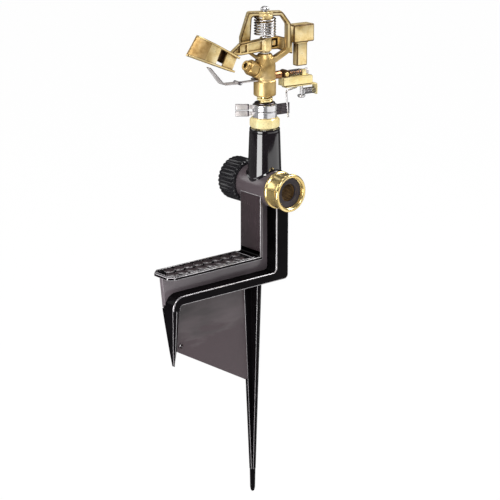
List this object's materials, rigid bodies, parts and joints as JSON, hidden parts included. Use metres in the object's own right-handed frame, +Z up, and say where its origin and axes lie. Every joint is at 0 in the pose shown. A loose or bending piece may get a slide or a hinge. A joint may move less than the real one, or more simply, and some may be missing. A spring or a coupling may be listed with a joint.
{
  "type": "impulse sprinkler on step spike",
  "caption": "Impulse sprinkler head with spring-loaded impact arm, reversing trip and deflector flap, on a cast step spike with a hose inlet and a capped outlet.",
  "frame": {"origin": "On the riser's axis at the flat underside of the step beam, where the stand meets the ground.", "axes": "Z up along the riser. The step and the jet point toward -X, the hose inlet toward -Y and the capped outlet toward +Y."},
  "size_m": [0.1692, 0.0764, 0.4338],
  "materials": {
    "enamel": "gloss black enamel over a casting",
    "cast_brass": "satin cast brass",
    "turned_brass": "bright machined brass",
    "steel": "bright stainless steel",
    "spring_steel": "drawn spring wire",
    "cap_plastic": "moulded black plastic",
    "rubber": "matt black rubber",
    "nylon": "natural nylon"
  },
  "bodies": {
    "stand": {"step_spike": "enamel", "inlet_nipple": "turned_brass", "bearing_nipple": "turned_brass", "lip_washer": "steel"},
    "coupling": {"hose_coupling": "turned_brass", "coupling_washer": "rubber", "inlet_filter": "steel"},
    "cap": {"outlet_cap": "cap_plastic", "cap_washer": "rubber"},
    "lower_stop": {"lower_collar": "steel"},
    "upper_stop": {"upper_collar": "steel"},
    "head": {"sprinkler_body": "cast_brass", "nozzle": "turned_brass", "bearing_sleeve": "turned_brass", "seal_washer": "rubber", "bearing_spring": "turned_brass", "fulcrum_pin": "steel", "top_screw": "steel", "arm_spring": "spring_steel", "arm_washer": "nylon", "deflector_strap": "steel", "deflector_pin": "steel", "trip_rod": "steel", "rod_nut": "steel"},
    "arm": {"impact_arm": "cast_brass", "arm_bush": "nylon"},
    "flap": {"deflector_flap": "steel"},
    "trip": {"trip_lever": "turned_brass", "trip_plate": "cast_brass", "trip_wire": "spring_steel", "trip_spring": "spring_steel", "snap_spring": "spring_steel", "trip_screw": "steel"}
  },
  "joints": [
    {"name": "head_turn", "type": "hinge", "parent": "stand", "child": "head", "pos_m": [0, 0, 0.15], "axis": [0, 0, 1], "range_deg": [-165, 0]},
    {"name": "arm_swing", "type": "hinge", "parent": "head", "child": "arm", "pos_m": [0, 0, 0.2], "axis": [0, 0, 1], "range_deg": [0, 100], "stiffness_Nm_per_rad": 0.02, "springref_deg": -20.05},
    {"name": "flap_tilt", "type": "hinge", "parent": "head", "child": "flap", "pos_m": [-0.02749, 0.00241, 0.1753], "axis": [-0.0872, -0.9962, 0], "range_deg": [0, 30]},
    {"name": "trip_flip", "type": "hinge", "parent": "head", "child": "trip", "pos_m": [0, 0, 0.1776], "axis": [-0.9962, 0.0872, 0], "range_deg": [-6, 6]},
    {"name": "lower_collar_turn", "type": "hinge", "parent": "stand", "child": "lower_stop", "pos_m": [0, 0, 0.1458], "axis": [0, 0, 1], "range_deg": [0, 12]},
    {"name": "upper_collar_turn", "type": "hinge", "parent": "stand", "child": "upper_stop", "pos_m": [0, 0, 0.1515], "axis": [0, 0, 1], "range_deg": [-70, 12]},
    {"name": "coupling_swivel", "type": "hinge", "parent": "stand", "child": "coupling", "pos_m": [0, -0.035, 0.083], "axis": [0, 1, 0], "continuous": true},
    {"name": "cap_off", "type": "slide", "parent": "stand", "child": "cap", "axis": [0, 1, 0], "range_m": [0, 0.024]}
  ]
}
